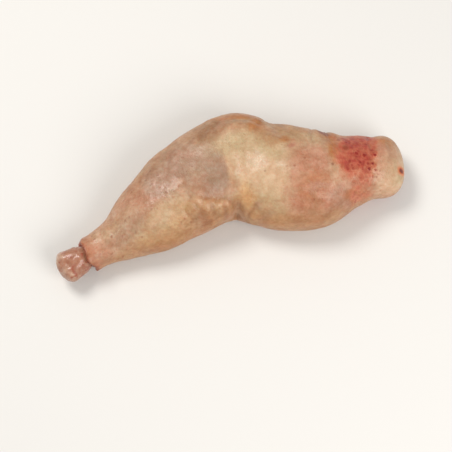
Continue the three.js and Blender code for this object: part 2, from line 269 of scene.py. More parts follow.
# The fat under the thigh's skin ends at a bent line above the knee, and the skin beyond it is lean.
FAT_EDGE = {"line": ((-4, 20), (-1.5, 9), (3, -8)), "softness": 1.4}

# Painted shade: the skin is painted browner where it turns down at its far and near sides, away from the
# light.
RIM_SHADE_PATCHES = [
    (2, 47, 30, 14, 0, 1.0), (76, 36, 24, 10, 0, 0.8), (40, 40, 26, 10, -8, 0.6),
    (-40, 22, 40, 14, 36, 0.7), (30, -20, 70, 14, 4, 0.7), (-45, -30, 44, 14, 36, 0.6),
]
RIM_SHADE_SOFTNESS = 0.5

# A spot of blood at the hip end, with an orange halo, and dark dots: plan x and y, radius, strength. The last
# two lie at the start of the fold on the thigh.
BLOOD_SPOT = {"x": 101.0, "y": 16.6, "radius": 1.4, "softness": 0.5, "halo": 3.6, "hip": (30, 5)}
DARK_DOTS = [
    (58.9, 14.3, 1.1, 0.6), (19.7, 9.6, 0.8, 0.5), (63.5, 32.5, 1.4, 0.5), (67.2, 26.4, 2.2, 0.6),
    (53.4, 39.2, 3.0, 0.85), (55.8, 37.6, 2.2, 0.7),
]
DOT_EDGE = (1.3, 0.4)  # shares of a dot's radius at which it begins and is full

# The skin is redder towards its ragged edge at the hock, and darkest at the edge itself.
HOCK_EDGE = {"reach": 7, "ragged": 5, "dark": 1.6, "dark_past": 0.5, "dark_strength": 0.6}

# Bare meat shows underneath, with a ragged edge, and in the dish at the hock.
MEAT_RAGGED = ((5, 0.22), (1.9, 0.16))
MEAT_EDGE = (0.3, 0.7)
DISH = {"share": 0.9, "length": 5}

# The knuckle is torn behind a ragged edge: shares of its length.
TORN_RAGGED = ((4.2, 3.2), (1.7, 1.6))
TORN_EDGE = (0.3, 0.8)

# Painted shade in folds, wrinkles and creases between lobes: depths at which it is full, and its share in
# creases.
CREASE_SHADE = {"fold": 14, "wrinkle": 2.4, "crease": 0.35}


# ---- Numbers ----

def smooth_step(low, high, value):
    """0 up to low and 1 from high, with a smooth 3tt - 2ttt between them."""
    t = np.clip((value - low) / (high - low), 0, 1)
    return t * t * (3 - 2 * t)


def scatter(*whole, seed):
    """A fixed number from 0 to 1 for each set of whole numbers, from their bits multiplied and folded."""
    mixed = np.full(np.broadcast(*whole).shape, 2166136261 + 7919 * seed, np.uint64)
    for number in whole:
        mixed = (mixed ^ (number.astype(np.int64) & 0xFFFFFF).astype(np.uint64)) * np.uint64(16777619)
        mixed = (mixed ^ (mixed >> np.uint64(15))) & np.uint64(0xFFFFFFFF)
    mixed = (mixed * np.uint64(2246822519)) & np.uint64(0xFFFFFFFF)
    return ((mixed ^ (mixed >> np.uint64(13))) & np.uint64(0xFFFFFF)) / float(0xFFFFFF)


def soft_noise(points, size, seed):
    """Smooth random values from -1 to 1: numbers at the corners of cubes of that size, blended smoothly."""
    cell = np.floor(points / size)
    share = points / size - cell
    blend = share * share * (3 - 2 * share)
    total = np.zeros(points.shape[:-1])
    for corner in itertools.product((0, 1), repeat=points.shape[-1]):
        weight = np.prod(np.where(np.array(corner) == 1, blend, 1 - blend), axis=-1)
        total += weight * scatter(*np.moveaxis(cell + corner, -1, 0), seed=seed)
    return 2 * total - 1


def layered_noise(points, layers, seed):
    """Soft noises of several sizes, each with its own height, laid over each other."""
    return sum(height * soft_noise(points, size, seed + n) for n, (size, height) in enumerate(layers))


def facing(direction, effect):
    """How fully a surface with these outward directions carries an effect."""
    return smooth_step(*FACING[effect], direction[..., 2])


def turned(x, y, patch):
    """Plan distances from a patch's middle, along and across its turned axes, in shares of its half sizes."""
    middle_x, middle_y, half_long, half_wide, turn = patch[:5]
    c, s = math.cos(math.radians(turn)), math.sin(math.radians(turn))
    dx, dy = x - middle_x, y - middle_y
    return (dx * c + dy * s) / half_long, (dy * c - dx * s) / half_wide


def mound_rise(x, y, mound):
    """A bell-shaped rise over a turned oval on the plan."""
    return mound[5] * np.exp(-sum(part * part for part in turned(x, y, mound)))


def station_curve(field, along):
    """One field of the sections at distances along the leg: a cubic through them, whose slope at each one is
    that of a line between its neighbours."""
    knots, values = STATIONS[:, ALONG], STATIONS[:, field]
    numbers = np.arange(len(knots))
    ahead = np.minimum(numbers + 1, len(knots) - 1)
    behind = np.maximum(numbers - 1, 0)
    slopes = (values[ahead] - values[behind]) / (knots[ahead] - knots[behind])
    i = np.searchsorted(knots[1:-1], along, side="left")
    span = knots[i + 1] - knots[i]
    t = (along - knots[i]) / span
    return (
        values[i] * (1 + 2 * t) * (1 - t) ** 2
        + slopes[i] * span * t * (1 - t) ** 2
        + values[i + 1] * t * t * (3 - 2 * t)
        + slopes[i + 1] * span * t * t * (t - 1)
    )


def signed_power(value, power):
    return np.sign(value) * np.abs(value) ** power


def rounding(distance, length, fullness):
    """How far a rounded end has opened at a distance from its tip."""
    t = np.minimum(distance / length, 1)
    return (1 - (1 - t) ** fullness) ** (1 / fullness)


def beside_line(x, y, path):
    """Plan distance to a bent line, the share of it before the nearest point, and the side: 1 left, -1 right.
    The line is a curve of second degree from its start to its end, drawn towards its bend."""
    start, bend, end = (np.array(point, float) for point in path)
    t = np.linspace(0, 1, LINE_STEPS + 1)[:, None]
    line = (1 - t) ** 2 * start + 2 * t * (1 - t) * bend + t * t * end
    distance, share, side = np.full(x.shape, np.inf), np.zeros(x.shape), np.ones(x.shape)
    for i in range(LINE_STEPS):
        run = line[i + 1] - line[i]
        dx, dy = x - line[i, 0], y - line[i, 1]
        part = np.clip((dx * run[0] + dy * run[1]) / (run @ run), 0, 1)
        gap = np.hypot(dx - part * run[0], dy - part * run[1])
        nearer = gap < distance
        distance = np.where(nearer, gap, distance)
        share = np.where(nearer, (i + part) / LINE_STEPS, share)
        side = np.where(nearer, np.sign(run[0] * dy - run[1] * dx), side)
    return distance, share, side


def fold_depth(x, y, fold):
    """A valley beside a bent line, with a bell-shaped section, that runs out towards the line's end."""
    *path, width, depth = fold
    distance, share, _ = beside_line(x, y, path)
    return depth * (1 - smooth_step(FOLD_FADE, 1, share)) * np.exp(-((distance / width) ** 2))


# ---- Surface of the flesh ----

def lump_rise(x, y):
    """Two pairs of crossed waves on the plan, a broad and a finer one."""
    turn = 2 * math.pi / LUMPS["length"]
    broad = np.sin(turn * x + 1.3) * np.sin(0.9 * turn * y + 0.4)
    fine = np.sin(1.5 * turn * (x - 0.8 * y) + 2) * np.sin(1.1 * turn * (y + 0.6 * x))
    return LUMPS["height"] * (broad + 0.7 * fine)


def inside_bare_meat(x, y):
    """Plan distance inside the edge of the bare meat: an oval that waves 3 times round, and 7 times less."""
    u = (x - BARE_MEAT["x"]) / BARE_MEAT["long"]
    v = (y - BARE_MEAT["y"]) / BARE_MEAT["wide"]
    bearing = np.arctan2(v, u)
    wave = np.sin(3 * bearing + 0.8) + 0.6 * np.sin(7 * bearing + 2.1)
    return (1 + BARE_MEAT["uneven"] * wave - np.hypot(u, v)) * BARE_MEAT["wide"]


def settle(z):
    """Rounds what would reach below the surface it lies on into a flat contact, by a piece of a parabola."""
    bend = (z + CONTACT_SOFTNESS) ** 2 / (4 * CONTACT_SOFTNESS)
    return np.where(z > CONTACT_SOFTNESS, z, np.where(z < -CONTACT_SOFTNESS, 0, bend))


def flesh_surface(distance, bearing, share):
    """Points of the flesh, and their share of bare meat. A section is an oval whose half widths and heights
    follow the stations, sized by share. It stands square to the leg's middle line, and mounds and folds raise
    and lower its upper side. Towards the hock it waves to and fro, for an uneven edge of the skin. Bare meat
    is sunk by the skin's thickness."""
    wave = HOCK["uneven"] * (np.sin(2 * bearing + 0.6) + 0.4 * np.sin(5 * bearing)) * share**2
    along = distance - wave * smooth_step(LENGTH - HOCK["fade"], LENGTH, distance)
    before, after = np.maximum(np.minimum(along, LENGTH) - 1, 0), np.minimum(along + 1, LENGTH)
    heading_x = station_curve(PLAN_X, after) - station_curve(PLAN_X, before)
    heading_y = station_curve(PLAN_Y, after) - station_curve(PLAN_Y, before)
    stride = np.hypot(heading_x, heading_y)
    across, up = np.cos(bearing), np.sin(bearing)
    power = np.where(up > 0, 2 / FULLNESS["upper"], 2 / FULLNESS["lower"])
    low, top = station_curve(LOW, along), station_curve(TOP, along)
    middle = low + WIDEST_AT * (top - low)
    reach = np.where(across > 0, station_curve(FAR, along), station_curve(NEAR, along))
    out = share * reach * signed_power(across, power)
    rise = share * np.where(up > 0, top - middle, middle - low) * signed_power(up, power)
    away = np.stack([out * heading_y / stride, -out * heading_x / stride, rise], -1)
    outward = away / np.maximum(np.linalg.norm(away, axis=-1, keepdims=True), 1e-9)
    centre = np.stack([station_curve(PLAN_X, along), station_curve(PLAN_Y, along), middle], -1)
    point = centre + away

    x, y = point[..., 0], point[..., 1]
    relief = lump_rise(x, y)
    for mound in MOUNDS:
        relief = relief + mound_rise(x, y, mound)
    for fold in FOLDS:
        relief = relief - fold_depth(x, y, fold)
    lifted = facing(outward, "lifted") * share
    point = point + outward * (relief * lifted)[..., None]
    point[..., 2] = settle(point[..., 2])
    underneath = 1 - facing(outward, "side")
    low_enough = 1 - smooth_step(BARE_MEAT["climb"] / 2, BARE_MEAT["climb"], point[..., 2])
    inside = inside_bare_meat(point[..., 0], point[..., 1])
    bare = underneath * low_enough * smooth_step(0, BARE_MEAT["edge"], inside)
    depth = BARE_MEAT["skin"] * bare * np.exp(-((inside / BARE_MEAT["sag"]) ** 4))
    return point - outward * depth[..., None], bare


def flesh_rings():
    """Distance down the leg and share of full size of each ring: round the hip end, straight along the leg,
    over the lip of skin at the hock in half a turn, and in across the dish behind it."""
    hip_turn = np.arange(1, FLESH_ROWS["hip"]) * math.pi / 2 / FLESH_ROWS["hip"]
    hip = HIP_ROUNDING["length"] * (1 - np.cos(hip_turn))
    straight = np.linspace(HIP_ROUNDING["length"], LENGTH - HOCK["lip"], FLESH_ROWS["straight"])
    lip_turn = np.arange(1, FLESH_ROWS["lip"] + 1) * math.pi / FLESH_ROWS["lip"]
    lip = LENGTH - HOCK["lip"] * (1 - np.sin(lip_turn))
    lip_share = 1 - HOCK["lip"] * (1 - np.cos(lip_turn)) / HOCK["radius"]
    dish_share = (1 - HOCK["dish"] * HOCK["lip"] / HOCK["radius"]) * np.linspace(1, 0.1, FLESH_ROWS["dish"])
    distance = [hip, straight, lip, np.full(FLESH_ROWS["dish"], LENGTH - HOCK["recess"])]
    share = [
        rounding(hip, HIP_ROUNDING["length"], HIP_ROUNDING["fullness"]),
        np.ones(len(straight)), lip_share, dish_share,
    ]
    return np.concatenate(distance)[:, None], np.concatenate(share)[:, None]


def bearings(count):
    """Bearings from straight below, up the near side and round, closer together at the top."""
    turn = 2 * math.pi * np.arange(count) / count
    return (-math.pi / 2 - turn - TOP_BIAS * np.sin(turn))[None, :]


def surface_normals(grid):
    """Unit vectors square to a grid that closes on itself across its columns, pointing to the outside."""
    wrapped = np.concatenate([grid[:, -1:], grid, grid[:, :1]], 1)
    down, across = np.gradient(wrapped, axis=0)[:, 1:-1], np.gradient(wrapped, axis=1)[:, 1:-1]
    normal = np.cross(down, across)
    normal /= np.maximum(np.linalg.norm(normal, axis=-1, keepdims=True), 1e-12)
    outward = np.sum(normal * (grid - grid.mean(1, keepdims=True)), -1).mean()
    return normal if outward > 0 else -normal


def distance_round(grid):
    """Distance round each ring from its top: negative towards one side, positive towards the other. Its extra
    last column closes the ring."""
    closed = np.concatenate([grid, grid[:, :1]], 1)
    steps = np.linalg.norm(np.diff(closed, axis=1), axis=-1)
    travelled = np.concatenate([np.zeros((len(grid), 1)), np.cumsum(steps, 1)], 1)
    top = grid.shape[1] // 2
    return travelled - travelled[:, top:top + 1]


def patches(x, y, rows, softness, ragged=0.0):
    """Soft ovals on the plan, laid over each other: 1 where one is full, 0 outside them all."""
    bare = np.ones(x.shape)
    for row in rows:
        reach = np.hypot(*turned(x, y, row)) + ragged
        bare = bare * (1 - row[5] * smooth_step(1 + softness, 1 - softness, reach))
    return 1 - bare


def nearest_pore(along, around):
    """Each point's offset from its nearest pore, along the leg and round it, and that pore's own number, 0 to
    1. Pores stand in shifted rows, drift in slow waves and stray a little."""
    drift = 2 * math.pi / PORES["drift_length"]
    along = along + PORES["drift"] * np.sin(drift * around + 0.7)
    around = around + PORES["drift"] * np.sin(drift * along + 0.2 * drift * around)
    row, best = np.round(around / PORES["row_gap"]), np.full(along.shape, np.inf)
    offset, number = np.zeros(along.shape + (2,)), np.zeros(along.shape)
    for row_step, step in itertools.product((-1, 0, 1), repeat=2):
        this_row = row + row_step
        shift = 0.5 * np.mod(this_row, 2)
        this = np.round(along / PORES["gap"] - shift) + step
        stray_along, stray_around = (2 * scatter(this_row, this, seed=seed) - 1 for seed in (1, 2))
        pore_along = PORES["gap"] * (this + shift) + PORES["stray"] * stray_along
        pore_around = PORES["row_gap"] * this_row + PORES["stray"] * stray_around
        away = np.stack([along - pore_along, around - pore_around], -1)
        gap = np.linalg.norm(away, axis=-1)
        nearer = gap < best
        best = np.where(nearer, gap, best)
        offset = np.where(nearer[..., None], away, offset)
        number = np.where(nearer, scatter(this_row, this, seed=3), number)
    return offset, number


def lobe_rise(x, y):
    """Rounded lobes of fat: each the top of a flattened ball, blended by the root of their summed powers."""
    total = np.zeros(x.shape)
    for lobe in LOBES:
        u, v = turned(x, y, lobe)
        height = lobe[5] * np.clip(1 - u * u - v * v, 0, 1) ** LOBE_FULLNESS
        total = total + height**LOBE_BLEND
    return total ** (1 / LOBE_BLEND)


def shingle_rise(x, y):
    """A sheet of loose skin that ends at a fold: raised behind the line and sunk back just in front."""
    *path, _, _ = FOLDS[SHINGLE["fold"]]
    distance, share, side = beside_line(x, y, path)
    strength = SHINGLE["rise"] * (1 - smooth_step(SHINGLE["fade"], 1, share))
    behind = np.exp(-((distance / SHINGLE["back"]) ** 2))
    front = np.exp(-((distance / SHINGLE["front"]) ** 2))
    return strength * np.where(side < 0, behind, front)


def blood_field(x, y, normal, distance, edge, ragged):
    """Dark blood, and the halo round its spot at the hip. Of the spot, the dots on top and the skin's edge at
    the hock, each point keeps the strongest."""
    in_hip = facing(normal, "upper") * smooth_step(*BLOOD_SPOT["hip"], distance)
    away = np.hypot(x - BLOOD_SPOT["x"], y - BLOOD_SPOT["y"])
    radius, softness = BLOOD_SPOT["radius"], BLOOD_SPOT["softness"]
    blood = in_hip * smooth_step(radius + softness, radius - softness, away)
    halo = in_hip * smooth_step(BLOOD_SPOT["halo"], radius, away)
    on_top = facing(normal, "top")
    for dot_x, dot_y, dot_radius, strength in DARK_DOTS:
        gap = np.hypot(x - dot_x, y - dot_y) / dot_radius + ragged
        blood = np.maximum(blood, strength * on_top * smooth_step(*DOT_EDGE, gap))
    dark_edge = smooth_step(-HOCK_EDGE["dark"], 0, edge + HOCK_EDGE["dark_past"])
    return np.maximum(blood, HOCK_EDGE["dark_strength"] * dark_edge), halo


def skin_zones(grid, normal, distance):
    """The fields that the skin's colours follow: soft ragged ovals on the plan, most on the upper side only.
    The bruise and the lean skin end at the edges of the fat, and the rim's painted shade lies on the sides."""
    x, y, _ = np.moveaxis(grid, -1, 0)
    upper = facing(normal, "upper")
    ragged = layered_noise(grid, ZONE_RAGGED, 11)
    zones = {}
    for name, rows in ZONES.items():
        softness = ZONE_SOFTNESS.get(name, ZONE_SOFTNESS["usual"])
        zones[name] = upper * patches(x, y, rows, softness, ragged)
    past_end = x - BRUISE_END["x"] + BRUISE_END["ragged"] * ragged
    zones["bruise"] *= smooth_step(BRUISE_END["softness"], -BRUISE_END["softness"], past_end)
    gap, _, side = beside_line(x + ragged, y + ragged, FAT_EDGE["line"])
    zones["lean"] *= smooth_step(FAT_EDGE["softness"], -FAT_EDGE["softness"], side * gap)
    # Painted shade: the rim is browner where the skin turns down, away from the light.
    turned_down = facing(normal, "turned_down") * facing(normal, "rim_end")
    zones["rim"] = turned_down * patches(x, y, RIM_SHADE_PATCHES, RIM_SHADE_SOFTNESS, ragged)
    edge = distance - LENGTH + HOCK_EDGE["ragged"] * ragged
    zones["hock_edge"] = smooth_step(-HOCK_EDGE["reach"], 0, edge)
    zones["blood"], zones["halo"] = blood_field(x, y, normal, distance, edge, ragged)
    return zones


def pore_strength(grid, normal, distance, number, lobes, bare):
    """How strongly each pore stands out: by its own number, squared, by its patch and its clump, and less
    towards the leg's ends and on lobes."""
    x, y, _ = np.moveaxis(grid, -1, 0)
    place = np.maximum(PORE_REST, patches(x, y, PORE_PATCHES, PORE_SOFTNESS)) * facing(normal, "pores")
    clump = smooth_step(*PORE_CLUMPS["range"], soft_noise(grid, PORE_CLUMPS["size"], 5))
    strength = place * (PORE_BUMP["faintest"] + PORE_BUMP["boldness"] * number * number) * clump
    for end in ("hip", "hock"):
        strength = strength * smooth_step(*PORE_FADES[end], distance)
    return strength * (1 - smooth_step(*PORE_FADES["lobe"], lobes)) * (1 - bare)


def make_flesh():
    """The flesh and skin: the solid's surface, with lobes, wrinkles, loose skin, pore bumps and soft lumps
    along its normal, and the fields that its colours follow."""
    distance, share = flesh_rings()
    grid, bare = flesh_surface(distance, bearings(FLESH_AROUND), share)
    normal = surface_normals(grid)
    x, y, z = np.moveaxis(grid, -1, 0)
    upper = facing(normal, "upper")
    free = smooth_step(*FREE_RELIEF["contact"], z) * smooth_step(*FREE_RELIEF["hock"], distance)

    lobes = upper * lobe_rise(x, y)
    wrinkled = sum(fold_depth(x, y, wrinkle) for wrinkle in WRINKLES)
    relief = layered_noise(grid, SOFT_LUMPS, 0)
    relief = relief + upper * (shingle_rise(x, y) + mound_rise(x, y, PUCKER) - wrinkled) + lobes

    around = distance_round(grid)[:, :-1]
    offset, number = nearest_pore(distance + 0 * around, around)
    pores = pore_strength(grid, normal, distance, number, lobes, bare)
    reach = np.linalg.norm(offset, axis=-1) / PORE_BUMP["radius"]
    relief = relief + PORE_BUMP["rise"] * pores * (np.exp(-reach * reach) - PORE_BUMP["sunk"])
    grid = grid + normal * (relief * free)[..., None]
    grid[..., 2] = np.maximum(grid[..., 2], 0)

    fields = skin_zones(grid, normal, distance)
    in_dish = (share < DISH["share"]) & (distance > LENGTH - DISH["length"])
    # Painted shade in the creases between lobes, in folds and in wrinkles, by their depth.
    least_risen = smooth_step(*LOBE_CREASE["rise"], lobe_rise(x, y))
    creases = patches(x, y, [LOBE_OVAL], LOBE_CREASE["softness"]) * least_risen
    deep = sum(fold_depth(x, y, fold) for fold in FOLDS)
    brown = deep / CREASE_SHADE["fold"] + wrinkled / CREASE_SHADE["wrinkle"] + CREASE_SHADE["crease"] * creases
    fields["hollow"] = upper * np.clip(brown, 0, 1)
    ragged = layered_noise(grid, MEAT_RAGGED, 31)
    bare_share = smooth_step(*MEAT_EDGE, bare + ragged * (bare > 0) * (bare < 1))
    fields["meat"] = np.where(in_dish, 1.0, bare_share)
    fields["pores"] = pores
    fields["pore_place"] = np.concatenate([offset, np.zeros(x.shape + (1,))], -1)
    none = np.zeros((1, 1))
    ends = [flesh_surface(none + end, none, none)[0][0, 0] for end in (0, LENGTH - HOCK["recess"])]
    return closed_mesh("leg_skin_and_meat", grid, ends, fields, distance, distance_round(grid))


# ---- Surface of the bone ----

def make_knuckle():
    """The drumstick's bone: rings along the line from knee to hock that flare into two rounds with a groove
    between them, with fine unevenness on the gristle. Rings crowd towards the hock."""
    knee, tip = np.array(BONE["knee"], float), np.array(BONE["tip"], float)
    length = np.linalg.norm(tip - knee)
    ahead = (tip - knee) / length
    sideways = np.array([-ahead[1], ahead[0], 0]) / math.hypot(ahead[0], ahead[1])
    upright = np.cross(ahead, sideways)
    row = np.arange(1, BONE_GRID["rows"])[:, None] / BONE_GRID["rows"]
    to_tip = length * (1 - row) ** BONE_GRID["crowding"]
    along = length - to_tip
    bearing = (2 * math.pi * np.arange(BONE_GRID["around"]) / BONE_GRID["around"])[None, :]
    flare = smooth_step(KNUCKLE["length"] + KNUCKLE["flare_length"], KNUCKLE["length"], to_tip)
    bulge = smooth_step(KNUCKLE["length"], KNUCKLE["full_at"] * KNUCKLE["length"], to_tip)
    reach = BONE["shaft"] + (BONE["flare"] - BONE["shaft"]) * flare
    reach = reach + (KNUCKLE["radius"] - BONE["flare"]) * bulge
    share = rounding(to_tip, KNUCKLE["length"] / 2, CIRCLE) * rounding(along, 2 * BONE["shaft"], CIRCLE)
    out = reach * share * np.cos(bearing)
    in_groove = np.exp(-((out / KNUCKLE["groove_width"]) ** 2))
    groove = KNUCKLE["groove"] * bulge * in_groove
    height = (reach * (1 - (1 - KNUCKLE["height"]) * bulge) - groove) * share * np.sin(bearing)
    grid = knee + along[..., None] * ahead - out[..., None] * sideways + height[..., None] * upright
    normal = surface_normals(grid)
    relief = layered_noise(grid, KNUCKLE_LUMPS, 21)
    grid = grid + normal * (relief * flare)[..., None]
    ragged = layered_noise(grid, TORN_RAGGED, 26)
    torn_from, torn_to = (share_of * KNUCKLE["length"] for share_of in TORN_EDGE)
    fields = {"torn": smooth_step(torn_from, torn_to, to_tip + ragged), "groove": bulge * in_groove}
    return closed_mesh("hock_knuckle", grid, [knee, tip], fields, along, distance_round(grid))


# ---- Meshes ----

def new_object(name, data):
    made = bpy.data.objects.new(name, data)
    bpy.context.scene.collection.objects.link(made)
    return made


def fill(target, name, values, kind=np.float32):
    target.foreach_set(name, values.astype(kind).ravel())


def closed_mesh(name, grid, ends, fields, along, round_ring):
    """A mesh of the grid's four-sided faces, closed at each end by a fan to one point. Its fields are point
    attributes, and its distances along the piece and round each ring, in metres, are the UV map. Faces are
    turned round if its volume is negative."""
    place = np.stack([along + 0 * round_ring, round_ring], -1)
    rows, around = grid.shape[:2]
    points = (np.concatenate([grid.reshape(-1, 3), np.array(ends)]) - MIDDLE) * MM
    row, column = (part.ravel() for part in np.mgrid[0:rows - 1, 0:around])
    corner_row = np.stack([row, row + 1, row + 1, row], 1)
    corner_column = np.stack([column, column, column + 1, column + 1], 1)
    quads = corner_row * around + corner_column % around
    rim = np.arange(around)
    next_rim = (rim + 1) % around
    last_row = (rows - 1) * around
    start = np.stack([np.full(around, rows * around), rim, next_rim], 1)
    finish = np.stack([np.full(around, rows * around + 1), last_row + next_rim, last_row + rim], 1)
    here, beside = place[:, :-1], place[:, 1:]
    start_places = np.stack([(here[0] + beside[0]) / 2, here[0], beside[0]], 1)
    finish_places = np.stack([(here[-1] + beside[-1]) / 2, beside[-1], here[-1]], 1)
    a, b, c, d = (points[quads[:, i]] for i in range(4))
    volume = np.sum(np.cross(a, b) * c + np.cross(a, c) * d)
    loops = [quads, start, finish]
    places = [place[corner_row, corner_column], start_places, finish_places]
    if volume < 0:
        loops = [part[:, ::-1] for part in loops]
        places = [part[:, ::-1] for part in places]
    sizes = np.concatenate([np.full(len(part), part.shape[1]) for part in loops])
    mesh = bpy.data.meshes.new(name)
    mesh.vertices.add(len(points))
    fill(mesh.vertices, "co", points)
    mesh.loops.add(int(sizes.sum()))
    fill(mesh.loops, "vertex_index", np.concatenate([part.ravel() for part in loops]), np.int32)
    mesh.polygons.add(len(sizes))
    fill(mesh.polygons, "loop_start", np.cumsum(sizes) - sizes, np.int32)
    mesh.update(calc_edges=True)
    mesh.validate()
    mesh.shade_smooth()
    layer = mesh.uv_layers.new(name="skin_place")
    fill(layer.data, "uv", np.concatenate([part.reshape(-1, 2) for part in places]) * MM)
    for field, values in fields.items():
        if values.ndim == 3:
            flat = np.concatenate([values.reshape(-1, 3), np.zeros((2, 3))])
            fill(mesh.attributes.new(field, "FLOAT_VECTOR", "POINT").data, "vector", flat)
        else:
            flat = np.concatenate([values.ravel(), [values[0].mean(), values[-1].mean()]])
            fill(mesh.attributes.new(field, "FLOAT", "POINT").data, "value", flat)
    return new_object(name, mesh)


# ---- Nodes ----

def paint(red, green, blue):
    """A colour given as on a screen, 0 to 255, in the renderer's linear numbers."""
    screen = np.array([red, green, blue]) / 255
    linear = np.where(screen > 0.04045, ((screen + 0.055) / 1.055) ** 2.4, screen / 12.92)
    return (*linear.tolist(), 1)


def paints(**colours):
    return {name: paint(*colour) for name, colour in colours.items()}


class Nodes:
    """Adds nodes to one tree. An input that is given a socket is linked, and any other is set. Sizes are in
    millimetres."""

    def __init__(self, tree):
        self.tree = tree

    def add(self, kind, inputs=None, **settings):
        node = self.tree.nodes.new(kind if kind.startswith("Node") else "ShaderNode" + kind)
        for name, value in settings.items():
            setattr(node, name, value)
        for name, value in (inputs or {}).items():
            if isinstance(value, bpy.types.NodeSocket):
                self.tree.links.new(value, node.inputs[name])
            else:
                node.inputs[name].default_value = value
        return node

    def field(self, name):
        return self.add("Attribute", attribute_name=name).outputs["Fac"]

    def mix(self, share, first, second, blend="MIX"):
        inputs = {0: share, 6: first, 7: second}  # a colour mix's own sockets
        return self.add("Mix", inputs, data_type="RGBA", blend_type=blend).outputs[2]

    def math(self, operation, first, second):
        return self.add("Math", {0: first, 1: second}, operation=operation).outputs[0]

    def times(self, first, second):
        return self.math("MULTIPLY", first, second)

    def span(self, value, low, high, to_low=0.0, to_high=1.0):
        """A value smoothly carried from one span to another."""
        inputs = {"Value": value, "From Min": low, "From Max": high, "To Min": to_low, "To Max": to_high}
        return self.add("MapRange", inputs, interpolation_type="SMOOTHSTEP").outputs["Result"]

    def noise(self, place, size, detail=2.0):
        inputs = {"Vector": place, "Scale": 1 / (size * MM), "Detail": detail}
        return self.add("TexNoise", inputs).outputs["Fac"]

    def stretched(self, place, scale):
        return self.add("Mapping", {"Vector": place, "Scale": scale}).outputs["Vector"]

    def group(self, name, place, size, **inputs):
        inputs = {"Vector": place, "Scale": 1 / (size * MM), **inputs}
        return self.add("Group", inputs, node_tree=bpy.data.node_groups[name]).outputs[0]


def new_group(name, detail, output, kind, **inputs):
    """A node group whose effect follows a noise: its nodes, its inputs by name, its output and the noise. An
    input that is no colour is a number."""
    group = bpy.data.node_groups.new(name, "ShaderNodeTree")
    group.interface.new_socket("Vector", in_out="INPUT", socket_type="NodeSocketVector")
    for socket, value in {"Scale": 100.0, **inputs}.items():
        socket_type = "NodeSocketColor" if isinstance(value, tuple) else "NodeSocketFloat"
        group.interface.new_socket(socket, in_out="INPUT", socket_type=socket_type).default_value = value
    group.interface.new_socket(output, in_out="OUTPUT", socket_type=kind)
    nodes = Nodes(group)
    given = nodes.add("NodeGroupInput").outputs
    out = nodes.add("NodeGroupOutput").inputs[output]
    noise = nodes.add("TexNoise", {"Vector": given["Vector"], "Scale": given["Scale"], "Detail": detail})
    return nodes, given, out, noise.outputs["Fac"]


def build_groups():
    """The three effects that all the finishes share."""
    nodes, given, out, noise = new_group(
        "uneven_colour", 3.0, "Colour", "NodeSocketColor",
        Colour=(1.0, 1.0, 1.0, 1.0), Shade=(0.8, 0.7, 0.65, 1.0), Amount=0.5)
    share = nodes.times(nodes.span(noise, 0.32, 0.68), given["Amount"])
    nodes.tree.links.new(nodes.mix(share, given["Colour"], given["Shade"], "MULTIPLY"), out)

    nodes, given, out, noise = new_group(
        "moist_sheen", 3.0, "Roughness", "NodeSocketFloat", Wet=0.25, Dry=0.5)
    spans = {"From Min": 0.35, "From Max": 0.65, "To Min": given["Wet"], "To Max": given["Dry"]}
    nodes.tree.links.new(nodes.add("MapRange", {"Value": noise, **spans}).outputs["Result"], out)

    nodes, given, out, noise = new_group("fine_relief", 4.0, "Height", "NodeSocketFloat", Height=0.05)
    nodes.tree.links.new(nodes.times(nodes.math("SUBTRACT", noise, 0.5), given["Height"]), out)


def new_material(name, **values):
    """A material with one Principled shader, whose constant values are set on its own sockets."""
    material = bpy.data.materials.new(name)
    material.use_nodes = True
    nodes = Nodes(material.node_tree)
    shader = material.node_tree.nodes["Principled BSDF"]
    for socket, value in values.items():
        shader.inputs[socket.replace("_", " ")].default_value = value
    return material, nodes, shader


def finish_shader(nodes, shader, colour, roughness, height):
    """Links a finish to its shader. Height is in millimetres."""
    bump = nodes.add("Bump", {"Height": height, "Distance": MM, "Strength": 1.0})
    nodes.tree.links.new(colour, shader.inputs["Base Color"])
    nodes.tree.links.new(roughness, shader.inputs["Roughness"])
    nodes.tree.links.new(bump.outputs["Normal"], shader.inputs["Normal"])


# ---- Finishes ----

SKIN = paints(
    pale=(202, 168, 138),
    fat=(197, 174, 136),
    # pale fat, and painted light on the hip end's shaded lower side and in a fold
    cream=(218, 187, 155),
    tan=(186, 149, 108),
    brown=(164, 128, 96),
    gold=(208, 166, 112),
    flush=(195, 144, 118),
    mauve=(161, 136, 120),
    thin=(190, 167, 148),
    lean=(168, 142, 119),
    # stains, and painted shade in a crease, beside a fold and along the kneecap's rim
    stain=(188, 132, 80),
    # painted shade where the skin turns down
    rim=(186, 140, 90),
    bruise_edge=(200, 130, 98),
    bruise=(190, 98, 74),
    bruise_core=(170, 70, 56),
    pore=(205, 168, 150),
    pore_in_bruise=(150, 38, 22),
    # painted shade in folds, wrinkles and creases, multiplied over the skin
    hollow=(176, 130, 98),
    hock_edge=(184, 126, 92),
    halo=(208, 112, 62),
    blood=(114, 32, 0),
    rosy=(246, 226, 218),
    dull=(232, 226, 214),
)
MEAT = paints(
    deep=(156, 78, 70),
    pink=(200, 128, 112),
    silver=(212, 176, 162),
    fat=(220, 188, 150),
)
GRISTLE = paints(
    pale=(198, 166, 142),
    pink=(182, 140, 116),
    torn=(168, 112, 84),
    blood=(160, 78, 54),
    dull=(230, 210, 200),
)

